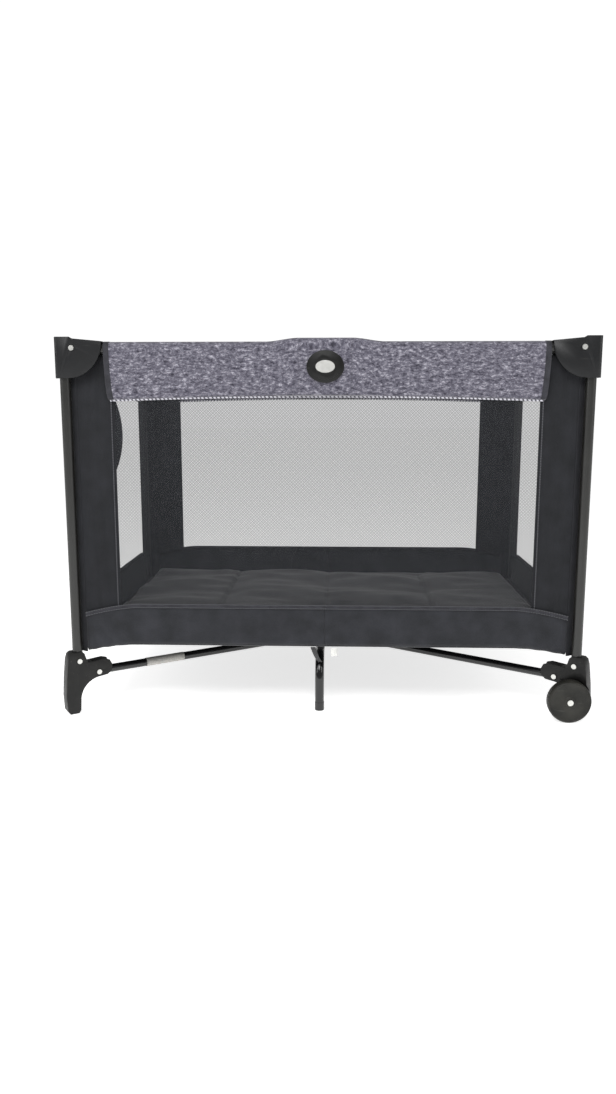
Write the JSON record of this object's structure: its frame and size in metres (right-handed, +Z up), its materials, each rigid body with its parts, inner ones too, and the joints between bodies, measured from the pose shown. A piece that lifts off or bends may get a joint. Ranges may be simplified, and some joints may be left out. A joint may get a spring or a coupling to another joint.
{
  "type": "travel play yard",
  "caption": "Folding travel play yard with mesh walls, padded top rails with push-button latches, a centre hub base and wheels at one end.",
  "frame": {"origin": "on the floor, under the centre of the hub", "axes": "+X to the end with the wheels along the long side, +Y from the front side to the back, +Z up"},
  "size_m": [1.0243, 0.7552, 0.716],
  "materials": {
    "painted_tube": "glossy black powder coat on round steel tube",
    "moulded_black": "satin moulded polypropylene with a fine grain",
    "wheel_plastic": "satin moulded plastic, scratched by use",
    "rivet_steel": "zinc plated",
    "button_plastic": "satin light grey",
    "heather_cloth": "heather grey melange weave over padding",
    "wall_cloth": "black polyester, with mesh windows",
    "pad_cloth": "dark grey brushed polyester over a padded board"
  },
  "bodies": {
    "corner_front_left": {"post_front_left": "painted_tube", "cap_front_left": "moulded_black", "foot_front_left": "moulded_black", "rivets_front_left": "rivet_steel", "wall_front_left": "wall_cloth"},
    "base_front_left": {"base_tube_front_left": "painted_tube", "floor_front_left": "wall_cloth"},
    "corner_front_right": {"post_front_right": "painted_tube", "cap_front_right": "moulded_black", "wheel_foot_front_right": "moulded_black", "rivets_front_right": "rivet_steel", "wall_front_right": "wall_cloth"},
    "base_front_right": {"base_tube_front_right": "painted_tube", "floor_front_right": "wall_cloth"},
    "corner_back_left": {"post_back_left": "painted_tube", "cap_back_left": "moulded_black", "foot_back_left": "moulded_black", "rivets_back_left": "rivet_steel", "wall_back_left": "wall_cloth"},
    "base_back_left": {"base_tube_back_left": "painted_tube", "floor_back_left": "wall_cloth"},
    "corner_back_right": {"post_back_right": "painted_tube", "cap_back_right": "moulded_black", "wheel_foot_back_right": "moulded_black", "rivets_back_right": "rivet_steel", "wall_back_right": "wall_cloth"},
    "base_back_right": {"base_tube_back_right": "painted_tube", "floor_back_right": "wall_cloth"},
    "hub": {"hub_body": "moulded_black", "hub_pins": "rivet_steel", "hub_strap": "wall_cloth"},
    "centre_leg_front": {"centre_leg_front": "painted_tube"},
    "centre_leg_back": {"centre_leg_back": "painted_tube"},
    "mattress": {"mattress_pad": "pad_cloth"},
    "rail_front_left": {"rail_front_left": "painted_tube", "sleeve_front_left": "heather_cloth"},
    "rail_front_right": {"rail_front_right": "painted_tube", "sleeve_front_right": "heather_cloth"},
    "rail_back_left": {"rail_back_left": "painted_tube", "sleeve_back_left": "heather_cloth"},
    "rail_back_right": {"rail_back_right": "painted_tube", "sleeve_back_right": "heather_cloth"},
    "rail_left_front": {"rail_left_front": "painted_tube", "sleeve_left_front": "heather_cloth"},
    "rail_left_back": {"rail_left_back": "painted_tube", "sleeve_left_back": "heather_cloth"},
    "rail_right_front": {"rail_right_front": "painted_tube", "sleeve_right_front": "heather_cloth"},
    "rail_right_back": {"rail_right_back": "painted_tube", "sleeve_right_back": "heather_cloth"},
    "latch_front": {"latch_front": "moulded_black"},
    "button_front": {"button_front": "button_plastic"},
    "latch_back": {"latch_back": "moulded_black"},
    "button_back": {"button_back": "button_plastic"},
    "latch_left": {"latch_left": "moulded_black"},
    "button_left": {"button_left": "button_plastic"},
    "latch_right": {"latch_right": "moulded_black"},
    "button_right": {"button_right": "button_plastic"},
    "wheel_front": {"wheel_front": "wheel_plastic"},
    "wheel_back": {"wheel_back": "wheel_plastic"}
  },
  "joints": [
    {"name": "fold", "type": "hinge", "parent": "corner_back_left", "child": "base_back_left", "pos_m": [-0.44852, 0.31872, 0.077], "axis": [-0.56, -0.8285, 0], "range_deg": [0, 80], "deforming": ["wall_front_left", "wall_front_right", "wall_back_left", "wall_back_right", "floor_front_left", "floor_front_right", "floor_back_left", "floor_back_right", "sleeve_front_left", "sleeve_front_right", "sleeve_back_left", "sleeve_back_right", "sleeve_left_front", "sleeve_left_back", "sleeve_right_front", "sleeve_right_back", "mattress_pad"]},
    {"name": "hub_lift", "type": "hinge", "parent": "base_back_left", "child": "hub", "pos_m": [-0.01652, 0.02672, 0.077], "axis": [-0.56, -0.8285, 0], "range_deg": [-80, 0]},
    {"name": "hub_to_base_front_left", "type": "hinge", "parent": "hub", "child": "base_front_left", "pos_m": [-0.01652, -0.02672, 0.077], "axis": [0.56, -0.8285, 0], "range_deg": [0, 80]},
    {"name": "base_to_foot_front_left", "type": "hinge", "parent": "base_front_left", "child": "corner_front_left", "pos_m": [-0.44852, -0.31872, 0.077], "axis": [0.56, -0.8285, 0], "range_deg": [-80, 0]},
    {"name": "hub_to_base_front_right", "type": "hinge", "parent": "hub", "child": "base_front_right", "pos_m": [0.01652, -0.02672, 0.077], "axis": [0.56, 0.8285, 0], "range_deg": [0, 80]},
    {"name": "base_to_foot_front_right", "type": "hinge", "parent": "base_front_right", "child": "corner_front_right", "pos_m": [0.44852, -0.31872, 0.077], "axis": [0.56, 0.8285, 0], "range_deg": [-80, 0]},
    {"name": "hub_to_base_back_right", "type": "hinge", "parent": "hub", "child": "base_back_right", "pos_m": [0.01652, 0.02672, 0.077], "axis": [-0.56, 0.8285, 0], "range_deg": [0, 80]},
    {"name": "base_to_foot_back_right", "type": "hinge", "parent": "base_back_right", "child": "corner_back_right", "pos_m": [0.44852, 0.31872, 0.077], "axis": [-0.56, 0.8285, 0], "range_deg": [-80, 0]},
    {"name": "rail_swing_front_left", "type": "hinge", "parent": "corner_front_left", "child": "rail_front_left", "pos_m": [-0.462, -0.34, 0.696], "axis": [0, 1, 0], "range_deg": [0, 80]},
    {"name": "rail_swing_front_right", "type": "hinge", "parent": "corner_front_right", "child": "rail_front_right", "pos_m": [0.462, -0.34, 0.696], "axis": [0, -1, 0], "range_deg": [0, 80]},
    {"name": "rail_swing_back_left", "type": "hinge", "parent": "corner_back_left", "child": "rail_back_left", "pos_m": [-0.462, 0.34, 0.696], "axis": [0, 1, 0], "range_deg": [0, 80]},
    {"name": "rail_swing_back_right", "type": "hinge", "parent": "corner_back_right", "child": "rail_back_right", "pos_m": [0.462, 0.34, 0.696], "axis": [0, -1, 0], "range_deg": [0, 80]},
    {"name": "rail_swing_left_front", "type": "hinge", "parent": "corner_front_left", "child": "rail_left_front", "pos_m": [-0.48, -0.322, 0.696], "axis": [-1, 0, 0], "range_deg": [0, 80]},
    {"name": "rail_swing_left_back", "type": "hinge", "parent": "corner_back_left", "child": "rail_left_back", "pos_m": [-0.48, 0.322, 0.696], "axis": [1, 0, 0], "range_deg": [0, 80]},
    {"name": "rail_swing_right_front", "type": "hinge", "parent": "corner_front_right", "child": "rail_right_front", "pos_m": [0.48, -0.322, 0.696], "axis": [-1, 0, 0], "range_deg": [0, 80]},
    {"name": "rail_swing_right_back", "type": "hinge", "parent": "corner_back_right", "child": "rail_right_back", "pos_m": [0.48, 0.322, 0.696], "axis": [1, 0, 0], "range_deg": [0, 80]},
    {"name": "latch_swing_front", "type": "hinge", "parent": "rail_front_right", "child": "latch_front", "pos_m": [0.03, -0.34, 0.696], "axis": [0, -1, 0], "range_deg": [-80, 0]},
    {"name": "button_press_front", "type": "slide", "parent": "latch_front", "child": "button_front", "axis": [0, 1, 0], "range_m": [0, 0.005], "stiffness_N_per_m": 400},
    {"name": "latch_swing_back", "type": "hinge", "parent": "rail_back_right", "child": "latch_back", "pos_m": [0.03, 0.34, 0.696], "axis": [0, -1, 0], "range_deg": [-80, 0]},
    {"name": "button_press_back", "type": "slide", "parent": "latch_back", "child": "button_back", "axis": [0, -1, 0], "range_m": [0, 0.005], "stiffness_N_per_m": 400},
    {"name": "latch_swing_left", "type": "hinge", "parent": "rail_left_back", "child": "latch_left", "pos_m": [-0.48, 0.03, 0.696], "axis": [1, 0, 0], "range_deg": [-80, 0]},
    {"name": "button_press_left", "type": "slide", "parent": "latch_left", "child": "button_left", "axis": [1, 0, 0], "range_m": [0, 0.005], "stiffness_N_per_m": 400},
    {"name": "latch_swing_right", "type": "hinge", "parent": "rail_right_back", "child": "latch_right", "pos_m": [0.48, 0.03, 0.696], "axis": [1, 0, 0], "range_deg": [-80, 0]},
    {"name": "button_press_right", "type": "slide", "parent": "latch_right", "child": "button_right", "axis": [-1, 0, 0], "range_m": [0, 0.005], "stiffness_N_per_m": 400},
    {"name": "leg_fold_front", "type": "hinge", "parent": "hub", "child": "centre_leg_front", "pos_m": [-0.01, -0.054, 0.102], "axis": [1, 0, 0], "range_deg": [0, 88]},
    {"name": "leg_fold_back", "type": "hinge", "parent": "hub", "child": "centre_leg_back", "pos_m": [0.01, 0.054, 0.102], "axis": [-1, 0, 0], "range_deg": [0, 88]},
    {"name": "pad_lift", "type": "slide", "parent": "hub", "child": "mattress", "axis": [0, 0, 1], "range_m": [0, 0.2798]},
    {"name": "wheel_spin_front", "type": "hinge", "parent": "corner_front_right", "child": "wheel_front", "pos_m": [0.463, -0.365, 0.041], "axis": [0, 1, 0], "continuous": true},
    {"name": "wheel_spin_back", "type": "hinge", "parent": "corner_back_right", "child": "wheel_back", "pos_m": [0.463, 0.365, 0.041], "axis": [0, 1, 0], "continuous": true}
  ],
  "couplings": [
    {"joint": "hub_lift", "follows": "fold", "ratio": -1},
    {"joint": "hub_to_base_front_left", "follows": "fold", "ratio": 1},
    {"joint": "base_to_foot_front_left", "follows": "fold", "ratio": -1},
    {"joint": "hub_to_base_front_right", "follows": "fold", "ratio": 1},
    {"joint": "base_to_foot_front_right", "follows": "fold", "ratio": -1},
    {"joint": "hub_to_base_back_right", "follows": "fold", "ratio": 1},
    {"joint": "base_to_foot_back_right", "follows": "fold", "ratio": -1},
    {"joint": "rail_swing_front_left", "follows": "fold", "ratio": 1},
    {"joint": "rail_swing_front_right", "follows": "fold", "ratio": 1},
    {"joint": "rail_swing_back_left", "follows": "fold", "ratio": 1},
    {"joint": "rail_swing_back_right", "follows": "fold", "ratio": 1},
    {"joint": "rail_swing_left_front", "follows": "fold", "ratio": 1},
    {"joint": "rail_swing_left_back", "follows": "fold", "ratio": 1},
    {"joint": "rail_swing_right_front", "follows": "fold", "ratio": 1},
    {"joint": "rail_swing_right_back", "follows": "fold", "ratio": 1},
    {"joint": "latch_swing_front", "follows": "fold", "ratio": -1},
    {"joint": "latch_swing_back", "follows": "fold", "ratio": -1},
    {"joint": "latch_swing_left", "follows": "fold", "ratio": -1},
    {"joint": "latch_swing_right", "follows": "fold", "ratio": -1},
    {"joint": "leg_fold_front", "follows": "fold", "ratio": 1.1},
    {"joint": "leg_fold_back", "follows": "fold", "ratio": 1.1},
    {"joint": "pad_lift", "follows": "fold", "m_per_rad": 0.2}
  ]
}
